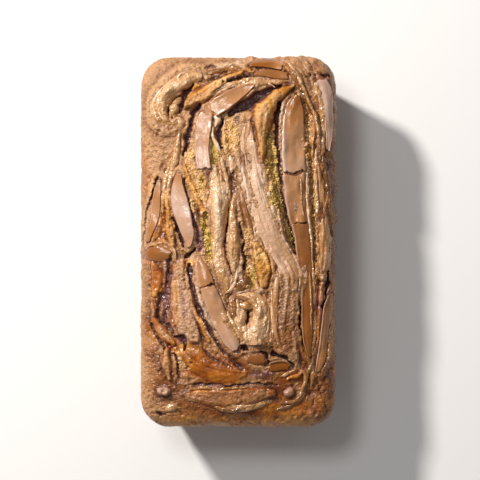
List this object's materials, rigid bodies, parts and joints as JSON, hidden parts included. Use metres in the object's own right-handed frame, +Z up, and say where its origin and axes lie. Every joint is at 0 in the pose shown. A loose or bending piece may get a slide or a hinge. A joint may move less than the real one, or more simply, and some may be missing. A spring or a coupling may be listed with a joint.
{
  "type": "chocolate hazelnut swirl bread",
  "caption": "Pan-baked loaf with tapered crust sides, a flat base and a low domed top covered by raised bands, ropes and cracked slabs of baked-in chocolate hazelnut spread.",
  "frame": {"origin": "centre of the flat underside, on the surface the loaf rests on", "axes": "+Y along the loaf, +X across it, +Z up through its swirled top"},
  "size_m": [0.113, 0.214, 0.0732],
  "materials": {
    "bread_crust": "matte, porous, browned",
    "chocolate_satin": "satin, smooth, cracked",
    "spread_glossy": "glossy, fine bubbles",
    "spread_matte": "matte, streaked lengthwise"
  },
  "bodies": {
    "root": {"chocolate_chip_lower": "chocolate_satin", "chocolate_slab_corner": "chocolate_satin", "chocolate_slab_far_left": "chocolate_satin", "chocolate_slab_left": "chocolate_satin", "chocolate_slab_low": "chocolate_satin", "chocolate_slab_lower_left_a": "chocolate_satin", "chocolate_slab_lower_left_b": "chocolate_satin", "chocolate_slab_right_a": "chocolate_satin", "chocolate_slab_right_b": "chocolate_satin", "chocolate_slab_right_c": "chocolate_satin", "chocolate_slab_right_low": "chocolate_satin", "chocolate_slab_top": "chocolate_satin", "chocolate_slab_top_inner": "chocolate_satin", "chocolate_slab_upper": "chocolate_satin", "chocolate_slab_upper_left": "chocolate_satin", "loaf": "bread_crust", "spread_curl": "spread_glossy", "spread_fold_bottom": "spread_glossy", "spread_hook": "spread_glossy", "spread_knot": "spread_glossy", "spread_patch_left": "spread_glossy", "spread_ribbon_right": "spread_glossy", "spread_rope_centre": "spread_glossy", "spread_rope_inner": "spread_glossy", "spread_smear_main": "spread_matte", "spread_smear_right": "spread_matte", "spread_strand_inner": "spread_matte", "spread_strand_outer": "spread_matte", "spread_tongue": "spread_matte"}
  },
  "joints": []
}
